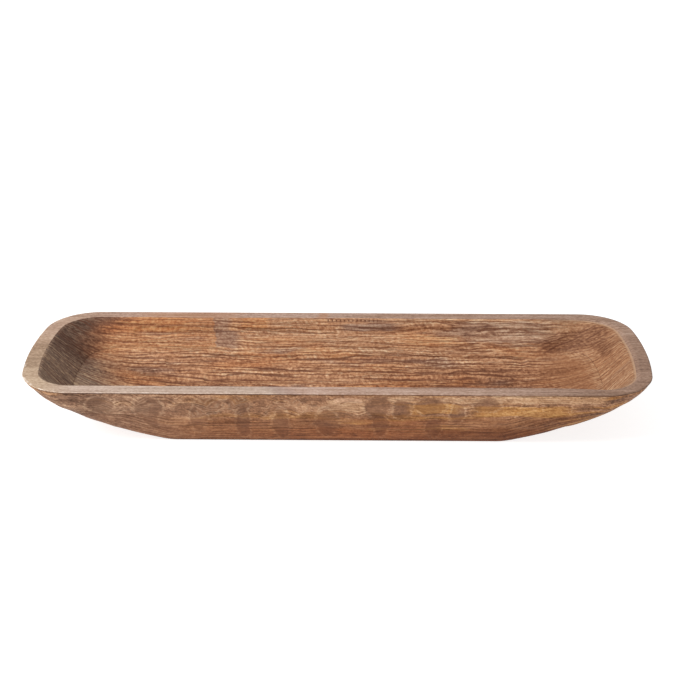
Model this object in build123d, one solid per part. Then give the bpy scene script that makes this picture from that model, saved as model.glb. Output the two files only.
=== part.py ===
from build123d import *
import math
import os

# A carved dough bowl, glued up from lengthwise boards in three layers.
# Millimetres. X runs along the bowl, -Y is its front, +Z is up.
# The origin is the middle of the flat underside.

# Boards of the blank, bottom to top
floor_board_thickness = 18.5
middle_board_thickness = 18.0
rim_board_thickness = 27.0

# Outside of the bowl at the rim
bowl_length = 610.0
bowl_width = 203.0
rim_corner_radius = 52.0
rim_end_radius = 400.0

# Flat underside
base_length = 372.0
base_width = 143.0
base_corner_radius = 32.0
base_end_radius = 380.0

# How full the outside belly is: 0 is a straight slope, 1 is upright at the rim
end_fullness = 0.71
side_fullness = 0.52

# Hollow: the wood that it leaves at the rim and at the crease, and round its flat floor
rim_width = 17.0
crease_end_wall = 15.0
crease_side_wall = 23.0
crease_corner_radius = 36.0
crease_end_radius = 360.0
floor_end_margin = 21.0
floor_side_margin = 40.5
floor_corner_radius = 26.0
floor_end_radius = 320.0
floor_thickness = 13.0

# Main gouge furrows: long strokes along the floor and in rows up each long wall of the hollow
gouge_radius = 13.0
furrow_depth = 1.8
floor_furrow_pitch = 22.0
floor_furrows = 3
basin_furrows = 2
mouth_furrows = 1
furrow_end_margin = 20.0
furrow_stagger = 14.0

# Glue joints
end_block_width = 90.0
middle_floor_board_width = 54.0
back_rim_butt_x = -129.0
front_rim_butt_x = 28.0
front_middle_butt_x = -55.0

# Sections that each curved surface is drawn through, and how far cutting shapes stand past the wood
belly_sections = 5
basin_sections = 4
overcut = 5.0

# Heights of the glue joints between the layers, and of the rim
lower_joint_z = floor_board_thickness
crease_z = lower_joint_z + middle_board_thickness
rim_z = crease_z + rim_board_thickness


def mix(low, high, share):
    return low + (high - low) * share


# How far out along X an outline's straight sides run before its corners start
def side_end(length, width, corner_radius, end_radius):
    corner_y = width / 2 - corner_radius
    return length / 2 - end_radius + math.sqrt((end_radius - corner_radius) ** 2 - corner_y**2)


# One level outline: straight sides, round corners and gently bowed ends
def outline(length, width, corner_radius, end_radius, z):
    half_length = length / 2
    half_width = width / 2
    end_centre = half_length - end_radius
    corner_y = half_width - corner_radius
    corner_x = side_end(length, width, corner_radius, end_radius)
    turn = math.atan2(corner_y, corner_x - end_centre)
    halfway = (turn + math.pi / 2) / 2
    tip = (half_length, 0)
    end = (end_centre + end_radius * math.cos(turn), end_radius * math.sin(turn))
    corner = (corner_x + corner_radius * math.cos(halfway), corner_y + corner_radius * math.sin(halfway))
    side = (corner_x, half_width)

    def at(point, along, across):
        return (along * point[0], across * point[1], z)

    edges = [
        ThreePointArc(at(end, 1, -1), at(tip, 1, 1), at(end, 1, 1)),
        ThreePointArc(at(end, 1, 1), at(corner, 1, 1), at(side, 1, 1)),
        Line(at(side, 1, 1), at(side, -1, 1)),
        ThreePointArc(at(side, -1, 1), at(corner, -1, 1), at(end, -1, 1)),
        ThreePointArc(at(end, -1, 1), at(tip, -1, 1), at(end, -1, -1)),
        ThreePointArc(at(end, -1, -1), at(corner, -1, -1), at(side, -1, -1)),
        Line(at(side, -1, -1), at(side, 1, -1)),
        ThreePointArc(at(side, 1, -1), at(corner, 1, -1), at(end, 1, -1)),
    ]
    return make_face(edges)


# Length and width of the outside at a share of the height
def outside(share):
    along = share * (1 + end_fullness * (1 - share))
    across = share * (1 + side_fullness * (1 - share))
    return mix(base_length, bowl_length, along), mix(base_width, bowl_width, across)


# Outside of the bowl, from the flat underside up to the rim
def belly():
    sections = []
    for number in range(belly_sections):
        share = number / (belly_sections - 1)
        corner_radius = mix(base_corner_radius, rim_corner_radius, share)
        end_radius = mix(base_end_radius, rim_end_radius, share)
        sections.append(outline(*outside(share), corner_radius, end_radius, share * rim_z))
    return loft(sections)


# Upper part of the hollow: a straight slope from the crease at share 0 to the rim at share 1
def mouth_level(share):
    return (
        mix(crease_length, bowl_length - 2 * rim_width, share),
        mix(crease_width, bowl_width - 2 * rim_width, share),
        mix(crease_corner_radius, rim_corner_radius - rim_width, share),
        mix(crease_end_radius, rim_end_radius - rim_width, share),
        mix(crease_z, rim_z, share),
    )


def mouth():
    above = 1 + overcut / rim_board_thickness
    return loft([outline(*mouth_level(0)), outline(*mouth_level(above))], ruled=True)


# Lower part of the hollow: from level at the floor, share 0, it curves up to the crease, share 1
def basin_level(share):
    return (
        mix(base_length - 2 * floor_end_margin, crease_length, share),
        mix(base_width - 2 * floor_side_margin, crease_width, share),
        mix(floor_corner_radius, crease_corner_radius, share),
        mix(floor_end_radius, crease_end_radius, share),
        mix(floor_thickness, crease_z, share**2),
    )


def basin():
    shares = [number / (basin_sections - 1) for number in range(basin_sections)]
    return loft([outline(*basin_level(share)) for share in shares])


# What one stroke of the gouge takes out along X from a level place at the origin: a bar with round ends
def stroke(half_length):
    tip = half_length + gouge_radius
    bend_x = half_length + gouge_radius * math.cos(math.pi / 4)
    bend_z = gouge_radius * math.sin(math.pi / 4)
    half_bar = make_face([
        ThreePointArc((-tip, 0, 0), (-bend_x, 0, bend_z), (-half_length, 0, gouge_radius)),
        Line((-half_length, 0, gouge_radius), (half_length, 0, gouge_radius)),
        ThreePointArc((half_length, 0, gouge_radius), (bend_x, 0, bend_z), (tip, 0, 0)),
        Line((tip, 0, 0), (-tip, 0, 0)),
    ])
    return Pos(0, 0, gouge_radius - furrow_depth) * revolve(half_bar, Axis.X)


# Strokes side by side on the flat floor
def floor_strokes():
    length, width, corner_radius, end_radius, z = basin_level(0)
    half_length = side_end(length, width, corner_radius, end_radius) - furrow_end_margin
    strokes = []
    for number in range(floor_furrows):
        place = number - (floor_furrows - 1) / 2
        strokes.append(Pos(place * furrow_stagger, place * floor_furrow_pitch, z) * stroke(half_length))
    return strokes


# Strokes in rows up both long walls of one part of the hollow, leaning with the wall
def wall_strokes(level, rows):
    strokes = []
    for row in range(rows):
        below, here, above = (level((row + part) / rows) for part in (0, 0.5, 1))
        length, width, corner_radius, end_radius, z = here
        lean = math.degrees(math.atan2(above[4] - below[4], (above[1] - below[1]) / 2))
        half_length = side_end(length, width, corner_radius, end_radius) - furrow_end_margin
        for side in (-1, 1):
            place = Pos(side * furrow_stagger / 2, side * width / 2, z) * Rot(side * lean, 0, 0)
            strokes.append(place * stroke(half_length))
    return strokes


# One board: what the carving leaves of it between its glue faces
def board(x_range, y_range, z_range):
    corners = [x_range, y_range, z_range]
    size = [high - low for low, high in corners]
    middle = [(low + high) / 2 for low, high in corners]
    return bowl & Pos(*middle) * Box(*size)


# Hollow at the crease, inside the outside wall there
outside_length, outside_width = outside(crease_z / rim_z)
crease_length = outside_length - 2 * crease_end_wall
crease_width = outside_width - 2 * crease_side_wall

strokes = floor_strokes()
strokes += wall_strokes(basin_level, basin_furrows)
strokes += wall_strokes(mouth_level, mouth_furrows)
bowl = belly() - mouth() - basin() - strokes

# Reaches of the boards along, across and up
end_x = bowl_length / 2 + overcut
side_y = bowl_width / 2 + overcut
block_y = end_block_width / 2
plank_y = middle_floor_board_width / 2
whole = (-end_x, end_x)
left = (-end_x, 0)
right = (0, end_x)
front = (-side_y, -block_y)
back = (block_y, side_y)
between = (-block_y, block_y)
floor_layer = (-overcut, lower_joint_z)
middle_layer = (lower_joint_z, crease_z)
rim_layer = (crease_z, rim_z + overcut)

boards = {
    "floor_board_front": board(whole, (-side_y, -plank_y), floor_layer),
    "floor_board_middle": board(whole, (-plank_y, plank_y), floor_layer),
    "floor_board_back": board(whole, (plank_y, side_y), floor_layer),
    "middle_rail_front_left": board((-end_x, front_middle_butt_x), front, middle_layer),
    "middle_rail_front_right": board((front_middle_butt_x, end_x), front, middle_layer),
    "middle_rail_back": board(whole, back, middle_layer),
    "middle_end_left": board(left, between, middle_layer),
    "middle_end_right": board(right, between, middle_layer),
    "rim_rail_front_left": board((-end_x, front_rim_butt_x), front, rim_layer),
    "rim_rail_front_right": board((front_rim_butt_x, end_x), front, rim_layer),
    "rim_rail_back_left": board((-end_x, back_rim_butt_x), back, rim_layer),
    "rim_rail_back_right": board((back_rim_butt_x, end_x), back, rim_layer),
    "rim_end_left": board(left, between, rim_layer),
    "rim_end_right": board(right, between, rim_layer),
}

os.makedirs("parts", exist_ok=True)
for name, wood in boards.items():
    export_step(wood, f"parts/{name}.step")
    print(f"{name}: {wood.volume / 1000:.1f} cm3")
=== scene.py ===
import functools
import math

import bpy
import numpy as np
from mathutils import Euler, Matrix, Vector


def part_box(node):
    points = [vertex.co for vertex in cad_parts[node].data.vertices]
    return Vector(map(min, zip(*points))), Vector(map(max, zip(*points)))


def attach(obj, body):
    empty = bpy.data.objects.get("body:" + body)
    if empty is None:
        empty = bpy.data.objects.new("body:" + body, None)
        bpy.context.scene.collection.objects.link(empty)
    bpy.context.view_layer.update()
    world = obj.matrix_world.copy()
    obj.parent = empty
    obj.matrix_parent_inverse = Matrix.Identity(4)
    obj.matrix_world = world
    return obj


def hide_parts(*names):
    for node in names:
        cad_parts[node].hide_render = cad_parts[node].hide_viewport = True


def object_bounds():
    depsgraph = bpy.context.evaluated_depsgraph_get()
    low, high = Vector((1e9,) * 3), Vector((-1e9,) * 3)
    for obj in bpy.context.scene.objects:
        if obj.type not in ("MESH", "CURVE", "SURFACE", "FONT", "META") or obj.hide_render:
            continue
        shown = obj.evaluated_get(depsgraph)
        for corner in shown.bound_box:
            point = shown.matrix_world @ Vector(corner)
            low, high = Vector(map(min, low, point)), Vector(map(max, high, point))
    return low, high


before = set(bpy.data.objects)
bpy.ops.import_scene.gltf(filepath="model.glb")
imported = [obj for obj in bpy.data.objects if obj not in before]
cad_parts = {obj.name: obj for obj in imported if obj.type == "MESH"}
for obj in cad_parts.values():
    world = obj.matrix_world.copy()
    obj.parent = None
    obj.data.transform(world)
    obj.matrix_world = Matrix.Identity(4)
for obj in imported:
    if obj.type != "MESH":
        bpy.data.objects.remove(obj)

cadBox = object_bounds()


# One socket of a node tree, so that node maths reads as plain Python
class Wire:
    def __init__(self, tree, socket=None):
        self.tree = tree
        self.socket = socket

    def pick(self, sockets, key):
        if isinstance(key, int):
            return sockets[key]
        byId = [s for s in sockets if s.identifier == key]
        byName = [s for s in sockets if s.name == key and s.enabled]
        return (byId or byName)[0]

    # Any node: its type, its settings (set first), its inputs, and the output that is wanted
    def node(self, kind, settings=None, inputs=None, output=0):
        made = self.tree.nodes.new(kind)
        for key, value in (settings or {}).items():
            if key == "stops":
                self.setStops(made.color_ramp, value)
            else:
                setattr(made, key, value)
        for key, value in (inputs or {}).items():
            self.feed(self.pick(made.inputs, key), value)
        return Wire(self.tree, self.pick(made.outputs, output))

    def feed(self, target, value):
        if isinstance(value, Wire):
            self.tree.links.new(value.socket, target)
        else:
            target.default_value = value

    def setStops(self, ramp, stops):
        while len(ramp.elements) < len(stops):
            ramp.elements.new(1.0)
        for element, (place, colour) in zip(ramp.elements, stops):
            element.position = place
            element.color = colour

    def math(self, operation, *values, clamp=False):
        settings = {"operation": operation, "use_clamp": clamp}
        return self.node("ShaderNodeMath", settings, dict(enumerate(values)))

    def __add__(self, other):
        return self.math("ADD", self, other)

    def __sub__(self, other):
        return self.math("SUBTRACT", self, other)

    def __mul__(self, other):
        return self.math("MULTIPLY", self, other)

    def __truediv__(self, other):
        return self.math("DIVIDE", self, other)

    def __rsub__(self, other):
        return self.math("SUBTRACT", other, self)

    __radd__ = __add__
    __rmul__ = __mul__

    def __neg__(self):
        return self.math("MULTIPLY", self, -1.0)

    def __abs__(self):
        return self.math("ABSOLUTE", self)

    def over(self, other):
        return self.math("MAXIMUM", self, other)

    def under(self, other):
        return self.math("MINIMUM", self, other)

    def floored(self):
        return self.math("FLOOR", self)

    def fract(self):
        return self.math("FRACT", self)

    def sine(self):
        return self.math("SINE", self)

    def clamped(self):
        return self.math("ADD", self, 0.0, clamp=True)

    # 0 at low, 1 at high, smooth between; low may be the larger
    def step(self, low, high):
        inputs = {"Value": self, "From Min": low, "From Max": high}
        return self.node("ShaderNodeMapRange", {"interpolation_type": "SMOOTHSTEP"}, inputs)

    # 1 from low to high, fading out over soft at both ends
    def within(self, low, high, soft):
        return self.step(low - soft, low) * self.step(high + soft, high)

    # 1 at place, fading out over reach
    def near(self, place, reach):
        return abs(self - place).step(reach, reach * 0.3)

    def vector(self, x, y, z):
        return self.node("ShaderNodeCombineXYZ", None, {0: x, 1: y, 2: z})

    # The x, y and z of a place
    def parts(self):
        split = self.node("ShaderNodeSeparateXYZ", None, {0: self})
        return [Wire(self.tree, output) for output in split.socket.node.outputs]

    # Noise from 0 to 1, and the same about 0
    def noise(self, x, y, z, detail=2.0, roughness=0.5, twist=0.0):
        place = self.vector(x, y, z)
        shape = {"Detail": detail, "Roughness": roughness, "Distortion": twist}
        return self.node("ShaderNodeTexNoise", None, {"Vector": place, "Scale": 1.0, **shape})

    def grain(self, x, y, z, detail=2.0, roughness=0.5, twist=0.0):
        return self.noise(x, y, z, detail, roughness, twist) - 0.5

    def blend(self, share, first, second):
        inputs = {"Factor_Float": share, "A_Color": first, "B_Color": second}
        return self.node("ShaderNodeMix", {"data_type": "RGBA"}, inputs, "Result_Color")

    def ramp(self, stops):
        return self.node("ShaderNodeValToRGB", {"stops": stops}, {0: self})


# Heights and edges of the glue joints, from the frame
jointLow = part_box("floor_board_middle")[1].z
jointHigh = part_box("middle_end_left")[1].z
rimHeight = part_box("rim_end_left")[1].z
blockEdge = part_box("rim_end_left")[1].y
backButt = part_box("rim_rail_back_left")[1].x
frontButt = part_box("rim_rail_front_left")[1].x
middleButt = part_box("middle_rail_front_left")[1].x

# The bowl as the solids have it, in metres; lengths and widths are whole, not half
bowlForm = {
    "length": cadBox[1].x - cadBox[0].x,
    "width": cadBox[1].y - cadBox[0].y,
    "rimCorner": 0.052,
    "rimEnd": 0.4,
    "rimWidth": 0.017,
    "baseLength": 0.372,
    "baseWidth": 0.143,
    "baseCorner": 0.032,
    "baseEnd": 0.38,
    "endFullness": 0.71,
    "sideFullness": 0.52,
    "creaseEndWall": 0.015,
    "creaseSideWall": 0.023,
    "creaseCorner": 0.036,
    "creaseEnd": 0.36,
    "floorEndMargin": 0.021,
    "floorSideMargin": 0.0405,
    "floorCorner": 0.026,
    "floorEnd": 0.32,
    "floorThickness": 0.013,
    "gougeRadius": 0.013,  # main furrows, long strokes along the floor and the long walls
    "furrowDepth": 0.0018,
    "floorFurrowPitch": 0.022,
    "floorFurrows": 3,
    "basinFurrows": 2,
    "mouthFurrows": 1,
    "furrowEndMargin": 0.02,
    "furrowStagger": 0.014,
    "baseEase": 0.0012,  # how far back from each arris the worn edge starts
    "rimEase": 0.0008,
    "mouthEase": 0.0016,
}

# Points of the blank: along each stretch of an outline, and up each stretch of the profile
blankDetail = {
    "endPoints": 130,
    "cornerPoints": 84,
    "sidePoints": 330,
    "underside": 16,
    "belly": 100,
    "edge": 5,
    "rimTop": 20,
    "mouth": 46,
    "basin": 72,
    "floor": 44,
}


def mixed(low, high, share):
    return low + (high - low) * share


def smoothStep(low, high, value):
    t = np.clip((value - low) / (high - low), 0, 1)
    return t * t * (3 - 2 * t)


# A level is half length, half width, corner radius, end radius and height
def bellyLevel(share):
    form = bowlForm
    along = share * (1 + form["endFullness"] * (1 - share))
    across = share * (1 + form["sideFullness"] * (1 - share))
    return np.array([
        mixed(form["baseLength"], form["length"], along) / 2,
        mixed(form["baseWidth"], form["width"], across) / 2,
        mixed(form["baseCorner"], form["rimCorner"], share),
        mixed(form["baseEnd"], form["rimEnd"], share),
        share * rimHeight,
    ])


def insetLevel(inset):
    level = bellyLevel(1.0)
    level[:4] -= inset
    return level


def creaseLevel():
    form = bowlForm
    level = bellyLevel(jointHigh / rimHeight)
    level[0] -= form["creaseEndWall"]
    level[1] -= form["creaseSideWall"]
    level[2:4] = form["creaseCorner"], form["creaseEnd"]
    return level


def floorLevel():
    form = bowlForm
    halfLength = form["baseLength"] / 2 - form["floorEndMargin"]
    halfWidth = form["baseWidth"] / 2 - form["floorSideMargin"]
    return np.array([halfLength, halfWidth, form["floorCorner"], form["floorEnd"], form["floorThickness"]])


def mouthLevel(share):
    return mixed(creaseLevel(), insetLevel(bowlForm["rimWidth"]), share)


def basinLevel(share):
    level = mixed(floorLevel(), creaseLevel(), share)
    level[4] = mixed(bowlForm["floorThickness"], jointHigh, share * share)
    return level


# A level drawn in towards the line along its middle, 1 is whole and 0 is the line
def drawnIn(level, share):
    halfLength, halfWidth, corner, end, height = level
    return np.array([halfLength - halfWidth * (1 - share), halfWidth * share, corner * share, end, height])


def easedEdge(before, arris, after, count):
    shares = [(n + 1) / (count + 1) for n in range(count)]
    return [before * (1 - t) ** 2 + arris * 2 * t * (1 - t) + after * t * t for t in shares]


# All levels from the middle of the underside, out, up, over the rim and down to the middle of the floor
def blankLevels():
    form = bowlForm
    detail = blankDetail
    baseShare = 1 - form["baseEase"] / (form["baseWidth"] / 2)
    bellyFrom = form["baseEase"] / rimHeight
    bellyTo = 1 - form["rimEase"] / rimHeight
    mouthFrom = 1 - form["mouthEase"] / (rimHeight - jointHigh)
    base = bellyLevel(0.0)
    inner = form["rimWidth"] - form["mouthEase"]
    underside = [drawnIn(base, t) for t in np.linspace(0, baseShare, detail["underside"])]
    belly = [bellyLevel(t) for t in np.linspace(bellyFrom, bellyTo, detail["belly"])]
    top = [insetLevel(t) for t in np.linspace(form["rimEase"], inner, detail["rimTop"])]
    mouth = [mouthLevel(t) for t in np.linspace(mouthFrom, 0, detail["mouth"])]
    basin = [basinLevel(t) for t in np.linspace(1, 0, detail["basin"] + 1)[1:]]
    floor = [drawnIn(floorLevel(), t) for t in np.linspace(1, 0, detail["floor"] + 1)[1:]]
    baseEdge = easedEdge(underside[-1], base, belly[0], detail["edge"])
    rimEdge = easedEdge(belly[-1], insetLevel(0.0), top[0], detail["edge"])
    mouthEdge = easedEdge(top[-1], insetLevel(form["rimWidth"]), mouth[0], detail["edge"])
    outside = underside + baseEdge + belly
    rim = rimEdge + top
    hollow = mouthEdge + mouth + basin + floor
    zones = ["belly"] * len(outside) + ["rim"] * len(rim) + ["hollow"] * len(hollow)
    return np.array(outside + rim + hollow), np.array(zones)


# Points round each level: straight sides, round corners and gently bowed ends
def levelPoints(levels):
    halfLength, halfWidth, corner, end = (levels[:, [n]] for n in range(4))
    endCentre = halfLength - end
    cornerY = halfWidth - corner
    cornerX = endCentre + np.sqrt((end - corner) ** 2 - cornerY**2)
    turn = np.arctan2(cornerY, cornerX - endCentre)

    def shares(count):
        return (np.arange(count) / count)[None, :]

    def endArc(sign):
        angle = turn * (2 * shares(blankDetail["endPoints"]) - 1)
        return sign * (endCentre + end * np.cos(angle)), sign * end * np.sin(angle)

    def cornerArc(signX, signY, towardsSide):
        t = shares(blankDetail["cornerPoints"])
        angle = mixed(turn, math.pi / 2, t if towardsSide else 1 - t)
        return signX * (cornerX + corner * np.cos(angle)), signY * (cornerY + corner * np.sin(angle))

    def side(sign):
        t = shares(blankDetail["sidePoints"])
        return sign * cornerX * (1 - 2 * t), sign * halfWidth + 0 * t

    stretches = [
        endArc(1), cornerArc(1, 1, True), side(1), cornerArc(-1, 1, False),
        endArc(-1), cornerArc(-1, -1, True), side(-1), cornerArc(1, -1, False),
    ]
    x = np.concatenate([s[0] for s in stretches], axis=1)
    y = np.concatenate([s[1] for s in stretches], axis=1)
    z = np.broadcast_to(levels[:, [4]], x.shape)
    return np.stack([x, y, z], axis=2)


# Main furrows: the middle of the gouge and half the length of its way, for each stroke
def mainStrokes():
    form = bowlForm
    lift = form["gougeRadius"] - form["furrowDepth"]
    strokes = []

    def add(level, x, y, lean):
        halfLength, halfWidth, corner, end, height = level
        sideEnd = halfLength - end + math.sqrt((end - corner) ** 2 - (halfWidth - corner) ** 2)
        middle = np.array([x, y - lift * math.sin(lean), height + lift * math.cos(lean)])
        strokes.append((middle, sideEnd - form["furrowEndMargin"]))

    for number in range(form["floorFurrows"]):
        place = number - (form["floorFurrows"] - 1) / 2
        add(floorLevel(), place * form["furrowStagger"], place * form["floorFurrowPitch"], 0.0)
    for levelAt, rows in (basinLevel, form["basinFurrows"]), (mouthLevel, form["mouthFurrows"]):
        for row in range(rows):
            below, here, above = (levelAt((row + part) / rows) for part in (0, 0.5, 1))
            lean = math.atan2(above[4] - below[4], above[1] - below[1])
            for side in (-1, 1):
                add(here, side * form["furrowStagger"] / 2, side * here[1], side * lean)
    return strokes


# Points of the hollow that a stroke reaches are pushed back to the gouge's edge
def scooped(points):
    radius = bowlForm["gougeRadius"]
    for middle, halfLength in mainStrokes():
        along = np.clip(points[..., 0] - middle[0], -halfLength, halfLength)
        nearest = middle + along[..., None] * np.array([1.0, 0.0, 0.0])
        away = points - nearest
        distance = np.linalg.norm(away, axis=-1, keepdims=True)
        points = np.where(distance < radius, nearest + away * (radius / distance), points)
    return points


def placed(name, data):
    thing = bpy.data.objects.new(name, data)
    bpy.context.scene.collection.objects.link(thing)
    return thing


# How the lines of the carving lie on the blank
carvingLines = {
    "floorDensity": 0.5,  # furrows on the flat floor are wider than on the walls
    "endFrom": 0.195,
    "endTo": 0.265,
}


# The whole bowl as one closed skin, with what the carving needs to know at each point
def bowlBlank():
    levels, zones = blankLevels()
    points = levelPoints(levels)
    inHollow = zones == "hollow"
    onRim = zones == "rim"
    points[inHollow] = scooped(points[inHollow])
    rows, columns = points.shape[:2]
    steps = np.hypot(np.diff(levels[:, 1]), np.diff(levels[:, 4]))
    path = np.concatenate([[0], np.cumsum(steps)])
    steep = np.sqrt(np.clip((levels[:, 4] - levels[-1, 4]) / (jointHigh - levels[-1, 4]), 0, 1))
    density = mixed(carvingLines["floorDensity"], 1.0, steep)
    wound = np.concatenate([[0], np.cumsum(steps * density[1:])])
    outerRow = np.argmax(onRim)
    innerRow = np.argmax(inHollow)
    tiny = 1e-9  # keeps the divisions safe on the middle line
    halfWidth = np.maximum(levels[:, [1]], tiny)
    rise = np.gradient(points, axis=0)
    overhang = np.hypot(rise[:, :, 0], rise[:, :, 1]) / np.maximum(np.linalg.norm(rise, axis=2), tiny)
    x = points[:, :, 0]
    y = points[:, :, 1]
    values = {
        "across": y / halfWidth * (wound[-1] - wound)[:, None],
        "steep": steep[:, None],
        "endShare": smoothStep(carvingLines["endFrom"], carvingLines["endTo"], np.abs(x)),
        "drop": (path[outerRow] - path)[:, None],
        "innerDrop": (path - path[innerRow])[:, None],
        "overhang": overhang,
        "hollow": inHollow[:, None],
        "rimTop": onRim[:, None],
    }
    number = np.arange(rows * columns).reshape(rows, columns)
    nextColumn = np.roll(number, -1, axis=1)
    quads = np.stack([number[:-1], nextColumn[:-1], nextColumn[1:], number[1:]], axis=2).reshape(-1, 4)
    mesh = bpy.data.meshes.new("bowlBlank")
    mesh.from_pydata(points.reshape(-1, 3), [], quads)
    for name, value in values.items():
        layer = mesh.attributes.new(name, "FLOAT", "POINT")
        layer.data.foreach_set("value", np.broadcast_to(value, x.shape).astype(np.float32).ravel())
    print("blank", rows, "levels of", columns, "points")
    return placed("bowlBlank", mesh)


# Tool marks: sizes in metres
gouging = {
    "Weld": 1e-6,
    "Furrow depth": 0.0011,
    "Furrow spacing": 0.0058,
    "Furrow length": 0.06,
    "Furrow wander": 0.009,
    "Trough depth": 0.001,
    "Scallop depth": 0.001,
    "Scallop width": 0.029,
    "Scallop height": 0.023,
    "Facet depth": 0.0007,
    "Lip depth": 0.0007,
    "Nick depth": 0.0008,
    "Nick spacing": 0.0043,
    "Joint depth": 0.00015,
    "Joint width": 0.0012,
    "Rim waviness": 0.0002,
    "Right bevel": 0.0016,
    "Seed": 4.0,
}

# The row of nicks under the far rim, along X
nickRow = {"from": -0.012, "to": 0.042, "fade": 0.003}

# How strokes lie: waves per metre along and across them, and how much of each groove shows
strokeLay = {
    "bend": 0.006,
    "bendAlong": 13,
    "bendAcross": 50,
    "shownFrom": 0.38,
    "shownTo": 0.56,
    "apart": 7.3,  # keeps the grooves from showing in the same places
    "wanderAlong": 9,
    "wanderAcross": 26,
    "straightAtEnds": 0.75,
    "risingSlant": 0.026,
    "fallingSlant": -0.034,
    "fallingSpacing": 0.8,  # as shares of the rising rows
    "fallingLength": 0.7,
}


# Rows of strokes along X: how far off the nearest groove is, how strongly it shows,
# and which strip between two grooves this is
def strokeRows(t, x, stroke, spacing, length, slant, seed):
    lay = strokeLay
    bend = t.grain(x * lay["bendAlong"], stroke * lay["bendAcross"], seed) * lay["bend"]
    row = (stroke + bend + x * slant) / spacing
    gap = (0.5 - abs(row.fract() - 0.5)) * spacing
    groove = (row + 0.5).floored()
    shown = t.noise(x / length, groove * lay["apart"], seed).step(lay["shownFrom"], lay["shownTo"])
    return gap, shown, row.floored()


# Furrows of the hollow: where a stroke lies across it, and two sets of rows that cross at a slant
def furrowField(t, x, across, endShare, size):
    lay = strokeLay
    seed = size("Seed")
    wander = t.grain(x * lay["wanderAlong"], across * lay["wanderAcross"], seed) * size("Furrow wander")
    stroke = across + wander * (1 - endShare * lay["straightAtEnds"])
    spacing = size("Furrow spacing")
    length = size("Furrow length")
    rising = strokeRows(t, x, stroke, spacing, length, lay["risingSlant"], seed + 7)
    spacing *= lay["fallingSpacing"]
    length *= lay["fallingLength"]
    falling = strokeRows(t, x, stroke, spacing, length, lay["fallingSlant"], seed + 19)
    return stroke, rising, falling


# Scallops on the outside: 0 in the middle of each, about 0.6 where they meet
def scallopField(t, x, drop, size):
    seed = size("Seed")
    sway = t.grain(x * 35, drop * 40, seed, 3)
    across = x / size("Scallop width") + sway * 0.8
    place = t.vector(across, drop / size("Scallop height") + sway * 0.4 + 0.1, seed)
    settings = {"feature": "F1", "voronoi_dimensions": "2D"}
    inputs = {"Vector": place, "Scale": 1, "Randomness": 0.6}
    return t.node("ShaderNodeTexVoronoi", settings, inputs, "Distance")


# Facets on the front wall: middle along X and in height, width and tallness, in millimetres
frontFacets = [
    (-220, 49, 24, 18), (-176, 45, 26, 26), (-174, 30, 15, 22), (-120, 49, 25, 20), (-129, 33, 15, 34),
    (-92, 51, 24, 17), (-88, 26, 14, 40), (-51, 24, 15, 40), (-9, 27, 21, 34),
    (39, 47, 23, 26), (42, 24, 14, 32), (62, 46, 16, 24), (88, 48, 27, 22), (114, 40, 13, 26),
    (142, 51, 24, 16), (92, 19, 15, 24),
]

# How far their edges stray, in millimetres, and the reading where there are none
facetEdges = {"swayAlong": 11, "swayUp": 9, "ragged": 2.5, "none": 9}


# 0 in the middle of the nearest facet, 1 at its edge and more outside; and how the wood sways there
def facetField(t, x, y, z):
    swayAlong, swayUp, stray, none = facetEdges.values()
    sway = t.grain(x * 55, y * 40, z * 70, 3)
    ragged = t.grain(x * 190, y * 120, z * 210, 2) * stray
    along = x * 1000 + sway * swayAlong + ragged
    above = z * 1000 + sway * swayUp - ragged
    reaches = []
    for place, height, width, tallness in frontFacets:
        across = (along - place) * (2 / width)
        up = (above - height) * (2 / tallness)
        reaches.append(across * across + up * up)
    return functools.reduce(Wire.under, reaches) + y.step(-0.04, 0) * none, sway


# A geometry tree with one named input for each size and each finish
class CarvingTree(Wire):
    def __init__(self, name, sizes, finishes):
        tree = bpy.data.node_groups.new(name, "GeometryNodeTree")
        super().__init__(tree)
        kinds = {"Geometry": "NodeSocketGeometry"}
        kinds |= dict.fromkeys(sizes, "NodeSocketFloat")
        kinds |= dict.fromkeys(finishes, "NodeSocketMaterial")
        for key, kind in kinds.items():
            tree.interface.new_socket(key, in_out="INPUT", socket_type=kind)
        tree.interface.new_socket("Geometry", in_out="OUTPUT", socket_type="NodeSocketGeometry")
        self.entry = tree.nodes.new("NodeGroupInput")
        self.exit = tree.nodes.new("NodeGroupOutput")

    def given(self, key):
        return Wire(self.tree, self.pick(self.entry.outputs, key))

    def stored(self, name):
        kind = "GeometryNodeInputNamedAttribute"
        return self.node(kind, {"data_type": "FLOAT"}, {"Name": name}, "Attribute")

    # One step of work on the geometry
    def worked(self, kind, shape, **inputs):
        return self.node(kind, None, {"Geometry": shape, **inputs})


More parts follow.
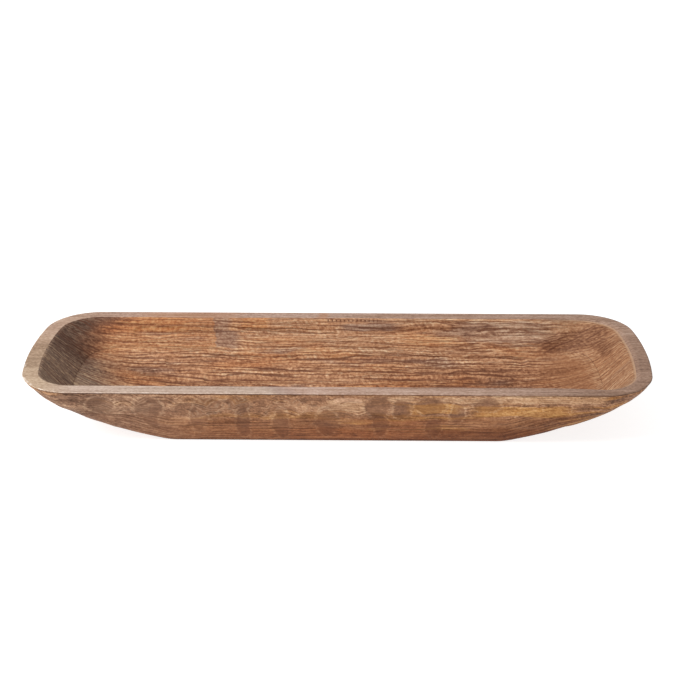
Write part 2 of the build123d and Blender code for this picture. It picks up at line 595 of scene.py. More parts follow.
def carvingTree(finishes):
    g = CarvingTree("gougeMarks", gouging, finishes)
    x, y, z = g.node("GeometryNodeInputPosition").parts()
    names = ["hollow", "rimTop", "endShare", "drop", "innerDrop"]
    hollow, rimTop, endShare, drop, innerDrop = map(g.stored, names)
    belly = (1 - hollow - rimTop).clamped()
    seed = g.given("Seed")

    # furrows along the hollow: sharp grooves between rounded lands, deeper on the floor
    stroke, rising, falling = furrowField(g, x, g.stored("across"), endShare, g.given)

    def grooved(row):
        gap, shown = row[:2]
        share = (1 - gap * 2 / g.given("Furrow spacing")).clamped()
        return share * share * shown

    furrow = grooved(rising).over(grooved(falling) * 0.7)
    strength = (1.4 - g.stored("steep") * 0.8) * (1 - endShare * 0.6) * innerDrop.step(0.001, 0.005)
    trough = g.noise(x * 8, stroke * 60, seed + 43)
    hollowCut = (furrow * g.given("Furrow depth") * strength + trough * g.given("Trough depth")) * hollow

    # a row of tool nicks under the far rim
    nick = (x * (2 * math.pi) / g.given("Nick spacing")).sine().step(0.2, 0.9)
    nick *= x.within(*nickRow.values()) * innerDrop.within(0.002, 0.0035, 0.001)
    nick *= y.step(0, 0.05) * hollow

    # scallops and facets on the outside, and the undercut where they start below the rim
    reach = scallopField(g, x, drop, g.given)
    scallop = reach.step(0.7, 0.1) * drop.step(0.002, 0.009) * drop.step(0.062, 0.045)
    lip = drop.within(0.0022, 0.0026, 0.0016) * g.noise(x * 25, y * 25, seed).step(0.3, 0.5)
    facet = facetField(g, x, y, z)[0].step(1.3, 0.3) * z.step(0.002, 0.01) * g.given("Facet depth")
    bellyCut = (scallop * g.given("Scallop depth") + lip * g.given("Lip depth") + facet) * belly

    # the rim is sanded with a slight waviness left, and softer along the right end's inner edge
    rimCut = g.noise(x * 16, y * 40, seed + 3) * g.given("Rim waviness") * rimTop
    bevel = abs(innerDrop).step(0.005, 0) * x.step(0.2, 0.27) * g.given("Right bevel") * (1 - belly)

    # glue joints have opened to hairline grooves
    width = g.given("Joint width")
    joint = z.near(jointHigh, width).over(z.near(jointLow, width)) * (1 - rimTop) * g.given("Joint depth")

    depth = hollowCut + bellyCut + rimCut + bevel + joint + nick * g.given("Nick depth")
    normal = g.node("GeometryNodeInputNormal")
    move = g.node("ShaderNodeVectorMath", {"operation": "SCALE"}, {0: normal, "Scale": -depth})
    shape = g.worked("GeometryNodeMergeByDistance", g.given("Geometry"), Distance=g.given("Weld"))
    shape = g.worked("GeometryNodeSetPosition", shape, Offset=move)
    shape = g.worked("GeometryNodeSetShadeSmooth", shape)
    shape = g.worked("GeometryNodeRealizeInstances", shape)
    shape = g.worked("GeometryNodeSetMaterial", shape, Material=g.given("Belly finish"))
    mostly = 0.4  # the share of a face that puts it in a zone
    for name, zone in {"Rim finish": rimTop, "Hollow finish": hollow}.items():
        settings = {"data_type": "FLOAT", "operation": "GREATER_THAN"}
        chosen = g.node("FunctionNodeCompare", settings, {0: zone, 1: mostly})
        shape = g.worked("GeometryNodeSetMaterial", shape, Selection=chosen, Material=g.given(name))
    g.feed(g.exit.inputs[0], shape)
    return g.tree


# One value of each face, edge, corner or point of a mesh
def fetched(items, name, kind=np.int32):
    values = np.zeros(len(items), dtype=kind)
    items.foreach_get(name, values)
    return values


# What a modifier makes of a thing, as a plain mesh with only the finishes that it uses
def plainMesh(thing, name):
    seen = thing.evaluated_get(bpy.context.evaluated_depsgraph_get())
    mesh = bpy.data.meshes.new_from_object(seen)
    mesh.name = name
    used, chosen = np.unique(fetched(mesh.polygons, "material_index"), return_inverse=True)
    finishes = [mesh.materials[n] for n in used]
    mesh.materials.clear()
    for finish in finishes:
        mesh.materials.append(finish)
    mesh.polygons.foreach_set("material_index", chosen.astype(np.int32))
    return mesh


# Cut faces stay flat, with sharp edges, so that the carved faces beside them keep their own shading
def sharpenCuts(mesh, cutFinish):
    chosen = fetched(mesh.polygons, "material_index")
    isCut = np.array([finish == cutFinish for finish in mesh.materials])[chosen]
    mesh.polygons.foreach_set("use_smooth", ~isCut)
    corners = fetched(mesh.polygons, "loop_total")
    edges = fetched(mesh.loops, "edge_index")
    sharp = np.zeros(len(mesh.edges), dtype=bool)
    sharp[edges[np.repeat(isCut, corners)]] = True
    mesh.edges.foreach_set("use_edge_sharp", sharp)


# What the finishes read goes from points to face corners, where it passes through the saw unharmed
def keepAtCorners(mesh, names):
    corners = fetched(mesh.loops, "vertex_index")
    for name in names:
        values = fetched(mesh.attributes[name].data, "value", np.float32)
        mesh.attributes.remove(mesh.attributes[name])
        mesh.attributes.new(name, "FLOAT", "CORNER").data.foreach_set("value", values[corners])


def carve(blank, finishes):
    tree = carvingTree(finishes)
    marks = blank.modifiers.new("gougeMarks", "NODES")
    marks.node_group = tree
    values = {**gouging, **finishes}
    for item in tree.interface.items_tree:
        if item.in_out == "INPUT" and item.name in values:
            marks[item.identifier] = values[item.name]
    carved = placed("carvedBowl", plainMesh(blank, "carvedBowl"))
    keepAtCorners(carved.data, ["across", "steep", "endShare", "drop", "innerDrop", "overhang"])
    bpy.data.objects.remove(blank)
    print("carved", len(carved.data.polygons), "faces, finishes", [m.name for m in carved.data.materials])
    return carved


# Sawing the carved bowl into its layers, and each layer into its boards, at the glue faces
sawing = {"overcut": 0.03, "samePlane": 5e-5}


def isGlueFace(node, axis, end):
    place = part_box(node)[end][axis]
    others = [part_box(n)[1 - end][axis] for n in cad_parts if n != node]
    return any(abs(place - other) < sawing["samePlane"] for other in others)


# The space that the saw leaves to a board: up to its glue faces on the axes that are cut,
# and past the wood elsewhere
def boardSpace(node, axes):
    low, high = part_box(node)
    for axis in range(3):
        if axis not in axes:
            low[axis] = cadBox[0][axis]
            high[axis] = cadBox[1][axis]
        if axis not in axes or not isGlueFace(node, axis, 0):
            low[axis] -= sawing["overcut"]
        if axis not in axes or not isGlueFace(node, axis, 1):
            high[axis] += sawing["overcut"]
    return low, high


def sawn(wood, name, space, cutFinish):
    low, high = space
    corners = [(x, y, z) for x in (low.x, high.x) for y in (low.y, high.y) for z in (low.z, high.z)]
    faces = [(0, 1, 3, 2), (4, 6, 7, 5), (0, 4, 5, 1), (2, 3, 7, 6), (0, 2, 6, 4), (1, 5, 7, 3)]
    mesh = bpy.data.meshes.new("sawSpace")
    mesh.from_pydata(corners, [], faces)
    mesh.materials.append(cutFinish)
    box = placed("sawSpace", mesh)
    saw = wood.modifiers.new("saw", "BOOLEAN")
    saw.operation = "INTERSECT"
    saw.solver = "MANIFOLD"
    saw.material_mode = "TRANSFER"
    saw.object = box
    cut = placed(name, plainMesh(wood, name))
    sharpenCuts(cut.data, cutFinish)
    wood.modifiers.remove(saw)
    bpy.data.objects.remove(box)
    return cut


# Each board's own shade, 0 is even
boardShades = {
    "rim_rail_front_left": 0.01,
    "rim_rail_front_right": -0.03,
    "rim_rail_back_left": -0.1,
    "rim_rail_back_right": -0.05,
    "rim_end_left": -0.16,
    "rim_end_right": -0.16,
    "middle_rail_front_left": 0.04,
    "middle_rail_front_right": -0.04,
}
grainStep = 1.7  # how far on in the wood each next board's grain is taken


def markBoard(board, node, number):
    values = {"boardShade": boardShades.get(node, 0.0), "boardShift": grainStep * number}
    for name, value in values.items():
        layer = board.data.attributes.new(name, "FLOAT", "POINT")
        layer.data.foreach_set("value", [value] * len(board.data.vertices))


def sawBoards(carved, cutFinish):
    layers = {}
    for node in sorted(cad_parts):
        layers.setdefault(round(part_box(node)[0].z, 4), []).append(node)
    number = 0
    for nodes in layers.values():
        layer = sawn(carved, "sawnLayer", boardSpace(nodes[0], [2]), cutFinish)
        for node in nodes:
            board = sawn(layer, "carved_" + node, boardSpace(node, [0, 1]), cutFinish)
            number += 1
            markBoard(board, node, number)
            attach(board, "root")
            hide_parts(node)
            print(board.name, len(board.data.polygons), "faces", [m.name for m in board.data.materials])
        bpy.data.objects.remove(layer)
    bpy.data.objects.remove(carved)


# A finish that reads the place on the wood and what the carving left there
class Finish(Wire):
    def __init__(self, name, look):
        self.look = look
        self.material = bpy.data.materials.new(name)
        self.material.use_nodes = True
        super().__init__(self.material.node_tree)
        self.shader = self.tree.nodes["Principled BSDF"]
        self.shader.inputs["Specular IOR Level"].default_value = look["sheen"]
        self.x, self.y, self.z = self.node("ShaderNodeTexCoord", output="Object").parts()

    def stored(self, name):
        return self.node("ShaderNodeAttribute", {"attribute_name": name}, None, "Fac")

    # The first coat: how light each place is, 0 to 1, and its ramp of colours
    def ground(self, tone, name):
        self.tone = tone
        self.colour = tone.ramp(self.look[name])

    # One more coat over it, of a ramp or of one colour
    def coat(self, share, name):
        paint = self.look[name]
        paint = self.tone.ramp(paint) if isinstance(paint, list) else paint
        self.colour = self.blend(share, self.colour, paint)

    # The finish with all its coats, and with marks that stand up a little
    def done(self, marks):
        bump = {"Height": marks * self.look["bump"], "Strength": 1, "Distance": 1}
        roughness = self.look["roughness"] - self.tone * 0.1  # lighter wood is a little smoother
        self.feed(self.shader.inputs["Base Color"], self.colour)
        self.feed(self.shader.inputs["Roughness"], roughness)
        self.feed(self.shader.inputs["Normal"], self.node("ShaderNodeBump", None, bump))
        return self.material


# A colour as a painter's 0 to 255 values
def tint(red, green, blue):
    def linear(value):
        share = value / 255
        return share / 12.92 if share <= 0.04045 else ((share + 0.055) / 1.055) ** 2.4
    return linear(red), linear(green), linear(blue), 1.0


# A ramp of colours: the place of each, 0 to 1, and its red, green and blue
def shades(*stops):
    return [(place, tint(*colour)) for place, *colour in stops]


# Glue lines: widths in metres, how strongly the butts show, and how often the lines break
glueLine = {"width": 0.0006, "least": 0.00003, "fade": 0.0002, "butts": 0.22, "breaks": 45}


# Dark hairlines where boards meet, broken here and there
def glueLines(t):
    x, y, z = t.x, t.y, t.z
    width, least, fade, butts, breaks = glueLine.values()
    overhang = t.stored("overhang")
    thin = t.math("SQRT", (1 - overhang * overhang).clamped()) * width + least
    seams = z.near(jointHigh, thin).over(z.near(jointLow, thin)) * (0.4 + abs(x).step(0.17, 0.22) * 0.6)
    rings = z.step(jointLow - fade, jointLow + fade)
    rimRing = z.step(jointHigh - fade, jointHigh + fade)
    ends = abs(y).near(blockEdge, width) * rings * abs(x).step(0.2, 0.23)
    back = x.near(backButt, width) * y.step(0, 0.05) * rimRing
    front = x.near(frontButt, width) * y.step(0, -0.05) * rimRing
    middle = x.near(middleButt, width) * y.step(0, -0.05) * rings * (1 - rimRing)
    broken = t.noise(x * breaks, y * breaks, z * breaks).step(0.35, 0.55)
    return seams.over(ends.over(back).over(front).over(middle) * butts) * broken


# Finer rows of strokes and grain lines: spacing, length, slant and seed
fineRows = {
    "hollow": (0.0029, 0.035, 0.006, 83),
    "corner": (0.0038, 0.05, -0.42, 91),
    "belly": (0.0036, 0.04, 0, 71),
}

patchEdge = {"along": 0.01, "up": 0.006, "fade": 0.002}  # how ragged and how soft, in metres


# Patches of other colours on a wall, ragged at their edges; facing is 1 for the far wall, -1 for the front
def layPatches(t, patches, facing):
    x = t.x + t.grain(t.x * 90, t.y * 90, t.z * 160, 3) * patchEdge["along"]
    z = t.z + t.grain(t.x * 60, t.y * 60, t.z * 200, 3) * patchEdge["up"]
    wall = t.y.step(0, facing * 0.04)
    for (left, right), heights, (softLeft, softRight), share, name in patches:
        along = x.step(left - softLeft, left) * x.step(right + softRight, right)
        t.coat(along * z.within(*heights, patchEdge["fade"]) * wall * share, name)


# Each finish: its colours, how much each kind of mark tells in the tone, and its surface
hollowLook = {
    "brown": shades((0.12, 108, 68, 46), (0.36, 162, 112, 80), (0.58, 202, 152, 114), (0.9, 240, 206, 168)),
    "orange": shades((0.12, 122, 68, 38), (0.42, 190, 122, 76), (0.9, 236, 186, 130)),
    "mauve": shades((0.12, 92, 72, 62), (0.5, 150, 121, 105), (0.9, 208, 180, 160)),
    "groove": tint(104, 62, 43),
    "seam": tint(78, 48, 36),
    "leftEnd": shades((0.12, 74, 58, 50), (0.5, 134, 113, 97), (0.9, 200, 170, 138)),
    "rightEnd": shades((0.12, 116, 74, 48), (0.5, 172, 126, 92), (0.9, 212, 174, 138)),
    "calm": shades((0.12, 116, 70, 44), (0.5, 156, 104, 70), (0.9, 194, 142, 102)),
    "bareEdge": tint(200, 164, 134),
    "tone": 0.515, "strips": 0.28, "broad": 0.25, "streak": 0.4, "fibre": 0.8, "mottle": 0.9, "tick": 0.65,
    "ridgeHighlight": 0.1, "paintedCornerShade": 0.22, "board": 0.3, "nickStain": 0.001,  # metres past the row of nicks
    "sheen": 0.2, "roughness": 0.66, "bump": 0.0003,
}

# Patches on the far wall of the hollow: from and to along X, from and to in height,
# how softly the two ends fade, how strong, and which colours
hollowPatches = [
    ((-0.131, -0.118), (0.05, 0.064), (0.001, 0.008), 0.6, "mauve"),
    ((-0.129, -0.112), (0.037, 0.05), (0.001, 0.014), 0.65, "mauve"),
    ((0.008, 0.05), (0.053, 0.058), (0.01, 0.02), 0.7, "mauve"),
    ((0.139, 0.213), (0.043, 0.06), (0.03, 0.03), 0.5, "mauve"),
    ((-0.261, -0.177), (0.051, 0.064), (0.02, 0.03), 0.8, "orange"),
    ((-0.098, -0.08), (0.055, 0.064), (0.006, 0.01), 0.8, "orange"),
]


def hollowFinish():
    look = hollowLook
    t = Finish("hollowStain", look)
    x, y, z = t.x, t.y, t.z
    names = ["boardShift", "endShare", "innerDrop", "steep", "across"]
    shift, endShare, innerDrop, steep, across = map(t.stored, names)
    ragged = t.grain(x * 110, across * 200, 61, 3, 0.6) * 0.002
    stroke, rising, falling = furrowField(t, x, across + ragged, endShare, gouging.get)
    gapUp, shownUp, stripUp = rising
    gapDown, shownDown, stripDown = falling

    # tone: strips, broad figure, streaks, fibres, mottling and the slanted ticks that the gouge left; then
    # painted shade and painted light
    strips = t.grain(x * 7, stripUp * 5.7, 3) + t.grain(x * 9, stripDown * 4.1, 8) * 0.8
    broad = t.grain(x * 6, stroke * 50, 2)
    streak = t.grain(x * 11, stroke * 210, 5, 3, 0.65)
    fibre = t.grain(x * 70, stroke * 560, shift + 9, 3, 0.65)
    mottle = t.grain(x * 300, stroke * 420, 17, 2, 0.6)
    ticked = t.noise(x * 14, stripUp * 3.3, 27).step(0.46, 0.62)
    tick = t.grain(x * 400 + stroke * 330, stroke * 70 - x * 20, stripUp * 1.9) * ticked
    # painted highlight: a lighter strip beside each rising groove, where light would catch its edge
    ridgeHighlight = gapUp.within(0.0013, 0.0019, 0.0006) * shownUp
    calm = x.step(0.175, 0.24) * steep.step(1, 0.88)
    farWall = y.step(0, 0.05) * steep.step(0.85, 1)
    # painted shade in the far corners, where the far wall turns into the end walls, at the right and at the
    # left
    rightCornerShade = (z - x * 0.28).within(-0.027, -0.017, 0.006) * x.within(0.218, 0.266, 0.022)
    leftCornerShade = (x - z * 0.9).step(-0.266, -0.294)
    paintedCornerShade = farWall * rightCornerShade.over(leftCornerShade * 0.9)
    lines = strips * look["strips"] + broad * look["broad"]
    lines += streak * look["streak"] + fibre * look["fibre"]
    specks = mottle * look["mottle"] + tick * look["tick"] + ridgeHighlight * look["ridgeHighlight"]
    streaky = farWall * x.within(0.12, 0.21, 0.03)
    worked = (lines * (1 + streaky * 0.9) + specks * (1 - streaky * 0.3)) * (1 - calm * 0.15)
    # painted shade over the floor, deeper away from the middle and towards the right, and painted light on
    # the middle of the far wall
    shaded = (1 - steep) * (0.115 + abs(x).step(0.03, 0.16) * 0.05 + x.step(0.02, 0.16) * 0.09)
    lit = farWall * abs(x).step(0.12, 0.06) * 0.03
    tone = look["tone"] + worked - shaded + lit - paintedCornerShade * look["paintedCornerShade"]
    tone += t.stored("boardShade") * look["board"]

    # patches of orange and of mauve, strewn and in their places on the far wall
    orange = t.noise(x * 9, stroke * 38, 21).step(0.46, 0.68) * 0.6
    orange = orange.over(farWall * x.step(-0.06, -0.14) * 0.5)
    mauve = t.noise(x * 14, stroke * 90, 33).step(0.56, 0.72) * 0.55
    t.ground(tone, "brown")
    t.coat(orange, "orange")
    t.coat(mauve, "mauve")
    layPatches(t, hollowPatches, 1)

    # the ends: greyer on the left and darker there, the darkness a painted shade on the end wall that faces
    # away from the light; tan on the right with a calm stretch of floor before it
    leftEnd = x + y * 0.45 + broad * 0.05 - innerDrop.step(0.016, 0.002) * 0.03
    t.coat(leftEnd.step(-0.199, -0.255) * 0.9, "leftEnd")
    t.coat(x.step(0.2, 0.235) * 0.7, "rightEnd")
    t.coat(calm * 0.75, "calm")

    # stain and dirt in the grooves, the nicks and the joints, the grooves darkened partly as painted shade,
    # dark strokes in the shaded corners, and a bare edge at the right end
    groove = gapUp.step(0.001, 0.0003) * shownUp * 0.85
    groove = groove.over(gapDown.step(0.0008, 0.0002) * shownDown * 0.8) * (1 - farWall * 0.3)
    fineGap, fineShown = strokeRows(t, x, stroke, *fineRows["hollow"])[:2]
    groove = groove.over(fineGap.step(0.0006, 0.0001) * fineShown * 0.8)
    groove *= (1 - endShare * 0.35) * (1 - calm * 0.55)
    cornerGap, cornerShown = strokeRows(t, abs(x), stroke, *fineRows["corner"])[:2]
    groove = groove.over(paintedCornerShade * cornerGap.step(0.0014, 0.0003) * cornerShown * 0.85)
    first, last, fade = nickRow.values()
    nick = (x * (2 * math.pi / gouging["Nick spacing"])).sine().step(0.1, 0.8)
    nick *= x.within(first - look["nickStain"], last + look["nickStain"], fade)
    nick *= innerDrop.within(0.0015, 0.0035, 0.001) * y.step(0, 0.05)
    t.coat(groove.over(nick * 0.8), "groove")
    t.coat(glueLines(t) * (0.5 - calm * 0.2), "seam")
    bevel = innerDrop.within(-0.01, 0.0012, 0.0012) * x.step(0.2, 0.27)
    t.coat(bevel * 0.7, "bareEdge")
    return t.done(fibre + mottle)


rimLook = {
    "wash": shades((0.15, 132, 102, 86), (0.5, 186, 153, 135), (0.85, 218, 192, 176)),
    "pale": shades((0.15, 140, 115, 98), (0.5, 190, 166, 149), (0.85, 222, 202, 187)),
    "bare": shades((0.2, 124, 88, 64), (0.8, 188, 148, 118)),
    "dullAndShade": shades((0.15, 112, 86, 72), (0.5, 160, 127, 107), (0.85, 194, 164, 144)),
    "tan": shades((0.15, 120, 96, 74), (0.5, 176, 148, 122), (0.85, 216, 192, 162)),
    "seam": tint(90, 64, 48),
    "worn": tint(240, 226, 212),
    "mauve": tint(160, 134, 126),
    "orange": tint(186, 128, 88),
    "tone": 0.54, "streak": 0.75, "fibre": 0.7, "fleck": 0.8, "broad": 0.4, "board": 0.8,
    "sheen": 0.2, "roughness": 0.72, "bump": 0.0002,
}


def rimFinish():
    look = rimLook
    t = Finish("rimWash", look)
    x, y = t.x, t.y
    shift = t.stored("boardShift")
    drop = t.stored("drop")
    front = y.step(0, -0.05)
    leftEnd = x.step(-0.24, -0.28)
    rightEnd = x.step(0.12, 0.28)

    # tone: streaks, fibres, flecks and broad figure, calmer at the left end
    streak = t.grain(x * 10, y * 300, shift, 3, 0.6)
    fibre = t.grain(x * 80, y * 900, shift + 4, 3, 0.65)
    fleck = t.grain(x * 340, y * 520, shift + 6, 2, 0.6)
    broad = t.grain(x * 9, y * 30, 8)
    lines = (streak * look["streak"] + fibre * look["fibre"]) * (1 - leftEnd * 0.5)
    tone = look["tone"] + lines + fleck * look["fleck"] + broad * (look["broad"] + leftEnd * 0.4)
    # darker at the near side of the right end, in part painted shade, and lighter at its far side
    tone += t.stored("boardShade") * look["board"] - rightEnd * (front * 0.14 - 0.06)
    tone += leftEnd * y.step(0, 0.06) * 0.12

    # the wash, rubbed through here and there, and its changes round the rim: paler at the near left and
    # duller and darker towards the right, partly painted light falling off from left to right
    worn = t.noise(x * 16, y * 90, 12, 3).step(0.5, 0.68) * 0.7
    slant = x + y * 0.9 + streak * 0.02
    t.ground(tone, "wash")
    t.coat(worn, "bare")
    t.coat(slant.step(-0.125, -0.145) * front * 0.85, "pale")
    t.coat(x.step(-0.02, 0.33) * 0.9, "dullAndShade")
    t.coat(leftEnd * (0.85 - y.step(-0.02, 0.06) * 0.5), "tan")
    t.coat(slant.within(-0.142, -0.128, 0.006) * front * 0.4, "mauve")
    spot = (x + streak * 0.02).within(-0.021, -0.014, 0.003)
    spot = spot.over((x + streak * 0.05).within(-0.19, -0.12, 0.03) * 0.8) * (1 - front)
    t.coat(spot * 0.45, "orange")

    # the outer arris: stained at the right end, flecked pale at the left; and the joints
    arris = drop.within(-0.0009, 0.01, 0.0008)
    flecked = t.noise(x * 140, y * 140, 30, 3).step(0.5, 0.62) * leftEnd * y.step(-0.03, -0.05)
    t.coat(arris * x.step(0.15, 0.25) * 0.5, "seam")
    t.coat(drop.within(-0.002, 0.01, 0.0012) * flecked * 0.8, "worn")
    t.coat(glueLines(t) * 0.1, "seam")
    return t.done(fibre)


bellyLook = {
    "upper": shades((0.12, 74, 48, 34), (0.42, 134, 95, 70), (0.62, 168, 122, 90), (0.9, 210, 170, 134)),
    "lower": shades((0.12, 68, 38, 22), (0.45, 130, 83, 54), (0.9, 184, 132, 92)),
    "base": shades((0.12, 66, 34, 18), (0.5, 130, 76, 45), (0.9, 172, 114, 74)),
    "ochre": shades((0.12, 110, 68, 30), (0.5, 180, 124, 66), (0.9, 220, 172, 108)),
    "pale": shades((0.12, 132, 94, 66), (0.5, 188, 145, 109), (0.9, 228, 194, 158)),
    "cream": shades((0.12, 164, 122, 94), (0.5, 212, 168, 136), (0.9, 238, 208, 176)),
    "grey": shades((0.12, 84, 62, 50), (0.5, 146, 116, 96), (0.9, 206, 176, 150)),
    "lobe": tint(98, 68, 54),
    "fuzz": tint(196, 164, 134),
    "line": tint(74, 44, 30),
    "dirtAndShade": tint(62, 32, 18),
    "tone": 0.5, "streak": 0.85, "fibre": 0.95, "broad": 0.32, "curl": 0.75, "block": 0.35, "hatch": 0.3,
    "facetShade": 0.08, "lobeShade": 0.09, "ends": 0.14, "board": 0.3,
    "blockWidth": 0.031, "blockHeight": 0.02, "sheen": 0.1, "roughness": 0.66, "bump": 0.0002,
}

# Patches on the front wall, told in the same way
bellyPatches = [
    ((-0.002, 0.0275), (0.043, 0.056), (0.008, 0.0005), 0.6, "pale"),
    ((0.002, 0.021), (0.053, 0.057), (0.006, 0.006), 0.75, "cream"),
    ((0.035, 0.09), (0.02, 0.03), (0.02, 0.02), 0.7, "base"),
    ((0.052, 0.07), (0.055, 0.059), (0.006, 0.006), 0.7, "pale"),
    ((0.104, 0.134), (0.054, 0.059), (0.008, 0.008), 0.7, "pale"),
    ((0.15, 0.245), (0.054, 0.061), (0.012, 0.012), 0.85, "pale"),
    ((0.076, 0.108), (0.04, 0.05), (0.014, 0.014), 0.75, "ochre"),
    ((0.138, 0.205), (0.037, 0.048), (0.018, 0.026), 0.8, "ochre"),
    ((-0.288, -0.262), (0.0585, 0.064), (0.008, 0.008), 0.8, "pale"),
]


def bellyFinish():
    look = bellyLook
    t = Finish("bellyStain", look)
    x, y, z = t.x, t.y, t.z
    shift = t.stored("boardShift")
    drop = t.stored("drop")
    ragged = t.grain(x * 24, y * 24, z * 40, 3) * 0.022
    upper = (z + ragged).step(jointHigh - 0.007, jointHigh + 0.005)
    lower = (z + ragged * 0.5).step(jointLow + 0.004, jointLow - 0.003)
    reach = scallopField(t, x, drop, gouging.get)
    facetReach, sway = facetField(t, x, y, z)
    ringBend = 0.008 + x.step(0.04, -0.06) * 0.01
    figure = z + (reach * reach * ringBend + sway * 0.005) * upper  # growth rings bend round the scallops
    figure -= (abs(x) - 0.16).over(0) * z.step(0.06, 0.028) * 0.42  # and sweep up along the ends
    inFacet = facetReach.step(1.2, 0.75) * (0.85 + z.step(0.024, 0.044) * 0.15)
    atEnds = abs(x).step(0.17, 0.25)

    # tone: streaks, fibres, broad figure, curls of torn fibre, upright blocks and slanted hatching
    streak = t.grain(x * 10, y * 60, figure * 330, 3, 0.65)
    fibre = t.grain(x * 75, y * 260, figure * 800 + shift, 3, 0.65)
    broad = t.grain(x * 11, y * 14, z * 45)
    curl = t.grain(x * 260, y * 260, z * 360, 3, 0.6, 1.2)
    edge = x + t.grain(x * 30, y * 30, z * 120) * 0.012
    column = (edge / look["blockWidth"]).floored()
    course = (z / look["blockHeight"]).floored()
    block = t.grain(column * 3.7, course * 1.3, 2) * (1 - upper * 0.5)
    hatch = t.grain(x * 430 + z * 160, y * 200, z * 420, 2, 0.6)
    streaky = (look["streak"] - upper * 0.3 + atEnds * 0.5) * (1 - inFacet * 0.4)
    tone = look["tone"] + streak * streaky + fibre * (look["fibre"] - inFacet * 0.3)
    tone += broad * look["broad"] + curl * (look["curl"] - inFacet * 0.35)
    tone += block * look["block"] - inFacet * look["facetShade"]
    tone += hatch * (look["hatch"] + upper * 0.35) * (1 - inFacet * 0.4)
    tone += t.stored("boardShade") * look["board"] + upper * (0.04 + x.step(-0.08, 0.08) * 0.05)
    tone -= abs(x).step(0.19, 0.28) * look["ends"]
    tone += x.step(0.06, 0.12) * (1 - upper) * (1 - lower) * 0.09
    tone += x.step(0.06, -0.04) * (1 - upper) * 0.04
    onWall = (z + ragged).step(0.014, 0.034) * abs(x).step(0.285, 0.235) * drop.step(0.003, 0.008)
    strewn = 0.45 + t.noise(x * 16, y * 16, 41).step(0.36, 0.6) * 0.55
    lobe = (reach + curl * 0.2).step(0.52, 0.4) * onWall * strewn * (1 - x.step(-0.08, 0.06) * 0.5)
    tone -= lobe * look["lobeShade"]

    # the layers, gold in the grain, the greyer left end and the patches
    t.ground(tone, "lower")
    t.coat(upper, "upper")
    t.coat(lower * (0.2 + x.step(-0.16, 0.05) * 0.8), "base")
    golden = t.noise(x * 9, y * 30, figure * 110, 3).step(0.5, 0.68)
    t.coat(golden * (0.35 + x.step(-0.1, 0.1) * 0.35) * (1 - lower), "ochre")
    t.coat(x.step(-0.1, -0.24) * 0.5, "grey")
    layPatches(t, bellyPatches, -1)

    # scallops and facets: darker inside, with pale torn fibres round them
    fuzz = curl.step(0.05, 0.16) * reach.within(0.44, 0.8, 0.1) * onWall * upper * (1 - inFacet * 0.7)
    torn = facetReach.within(1.15, 1.45, 0.3) * (0.3 + curl.step(0, 0.12) * 0.7) * drop.step(0.002, 0.006)
    t.coat((lobe * 0.2).over(inFacet * 0.28), "lobe")
    t.coat(torn * (0.1 + upper * 0.26), "fuzz")
    t.coat(fuzz * 0.33, "fuzz")

    # fine dark grain lines and pale rings; a dark line under the rim, of dirt and painted shadow; darker at
    # the foot; dark joints; and painted shade below, on the undersides and over the lower band at the right
    gap, shown = strokeRows(t, x, figure, *fineRows["belly"])[:2]
    ring = gap.step(0.0009, 0.0015) * reach.within(0.46, 0.95, 0.1) * onWall * upper * x.step(0.05, -0.05)
    t.coat(ring * 0.22, "fuzz")
    fine = gap.step(0.0007, 0.0001) * shown * (0.65 - upper * 0.2) * (1 - inFacet * 0.5)
    t.coat(fine, "line")
    # dirt and painted shadow in a thin line just under the rim's edge
    dirtAndShade = (drop + ragged * 0.08).within(0.0004, 0.0012, 0.0008) * 0.8
    dirtAndShade = dirtAndShade.over(z.step(0.006, 0) * 0.6).over(glueLines(t) * 0.6)
    # darker over the lower band towards the right, partly painted shade
    dirtAndShade = dirtAndShade.over(x.step(0.02, 0.16) * lower * 0.42)
    # painted shade on the undersides that overhang the floor, stronger towards the right
    dirtAndShade = dirtAndShade.over(t.stored("overhang").step(0.7, 0.98) * (0.15 + x.step(-0.1, 0.2) * 0.28))
    t.coat(dirtAndShade, "dirtAndShade")
    return t.done(fibre + curl)


sawnLook = {
    "wood": shades((0.2, 120, 78, 50), (0.5, 172, 124, 86), (0.85, 210, 166, 126)),
    "tone": 0.5, "streak": 0.8, "fibre": 0.6, "sheen": 0.2, "roughness": 0.7, "bump": 0.0002,
}


def sawnFinish():
    look = sawnLook
    t = Finish("sawnWood", look)
    streak = t.grain(t.x * 14, t.y * 200, t.z * 240, 3, 0.6)
    fibre = t.grain(t.x * 60, t.y * 900, t.z * 900, 2, 0.6)
    t.ground(look["tone"] + streak * look["streak"] + fibre * look["fibre"], "wood")
    return t.done(fibre)


carvedFinishes = {"Belly finish": bellyFinish(), "Rim finish": rimFinish(), "Hollow finish": hollowFinish()}
print("finishes", [finish.name for finish in carvedFinishes.values()])
sawBoards(carve(bowlBlank(), carvedFinishes), sawnFinish())


# Floor, light and camera
studio = {
    "floorSize": 6.0,
    "floorGlow": 0.83,
    "floorShade": 0.5,
    "floorRoughness": 0.9,
    "domeStrength": 0.45,
    "keyPlace": (-1.5, -0.9, 1.7),
    "keySize": 1.1,
    "keyPower": 46,
}


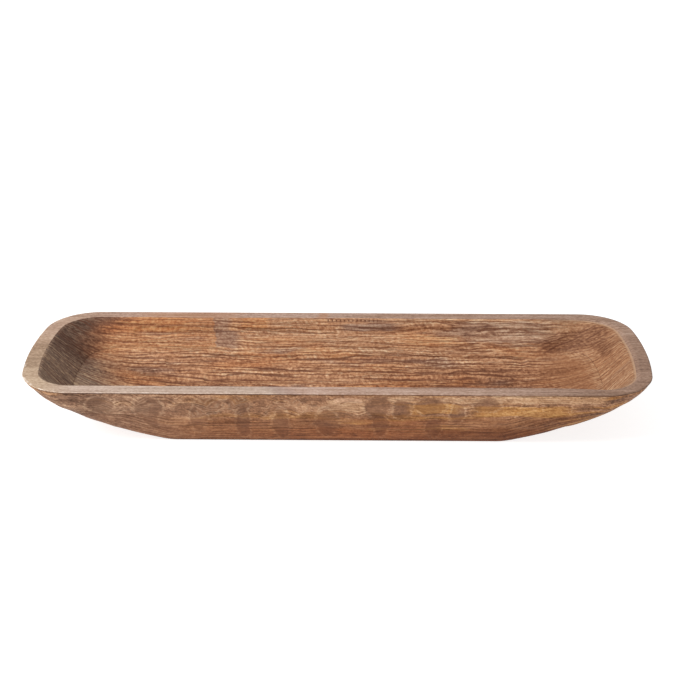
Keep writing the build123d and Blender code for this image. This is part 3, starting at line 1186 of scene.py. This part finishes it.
def studioFloor():
    size = studio["floorSize"]
    mesh = bpy.data.meshes.new("studioFloor")
    corners = [(-size, -size, 0), (size, -size, 0), (size, size, 0), (-size, size, 0)]
    mesh.from_pydata(corners, [], [(0, 1, 2, 3)])
    floor = placed("studioFloor", mesh)
    paper = bpy.data.materials.new("whitePaper")
    paper.use_nodes = True
    inputs = paper.node_tree.nodes["Principled BSDF"].inputs
    shade = studio["floorShade"]
    inputs["Base Color"].default_value = (shade, shade, shade, 1)
    inputs["Roughness"].default_value = studio["floorRoughness"]
    inputs["Emission Color"].default_value = (1, 1, 1, 1)
    inputs["Emission Strength"].default_value = studio["floorGlow"]
    mesh.materials.append(paper)


photoView = {
    "elevation": 23.2,
    "turn": 0.8,
    "distance": 1.409,
    "focalPixels": 1423,
    "framePixels": 700,
    "sensorWidth": 36,
    "rimCentre": (337.8, 350.6),
}


def photoCamera():
    view = photoView
    data = bpy.data.cameras.new("photoCamera")
    data.sensor_width = view["sensorWidth"]
    data.lens = view["focalPixels"] / view["framePixels"] * data.sensor_width
    camera = placed("photoCamera", data)
    lift = math.radians(view["elevation"])
    turn = Euler((math.radians(90) - lift, 0, math.radians(view["turn"])))
    half = view["framePixels"] / 2
    sideways = (view["rimCentre"][0] - half) / view["focalPixels"]
    upwards = (half - view["rimCentre"][1]) / view["focalPixels"]
    towards = turn.to_matrix() @ Vector((sideways, upwards, -1))
    camera.location = Vector((0, 0, rimHeight)) - towards * view["distance"]
    camera.rotation_euler = turn
    bpy.context.scene.camera = camera


def studioLight():
    world = bpy.data.worlds.new("studioDome")
    world.use_nodes = True
    dome = world.node_tree.nodes["Background"]
    dome.inputs["Color"].default_value = (1, 1, 1, 1)
    dome.inputs["Strength"].default_value = studio["domeStrength"]
    bpy.context.scene.world = world
    data = bpy.data.lights.new("keyLight", "AREA")
    data.shape = "DISK"
    data.size = studio["keySize"]
    data.energy = studio["keyPower"]
    light = placed("keyLight", data)
    light.location = studio["keyPlace"]
    light.rotation_euler = (-Vector(studio["keyPlace"])).to_track_quat("-Z", "Y").to_euler()


studioFloor()
studioLight()
photoCamera()
print("floor, light and camera placed")
bpy.context.scene.view_settings.view_transform = "Standard"
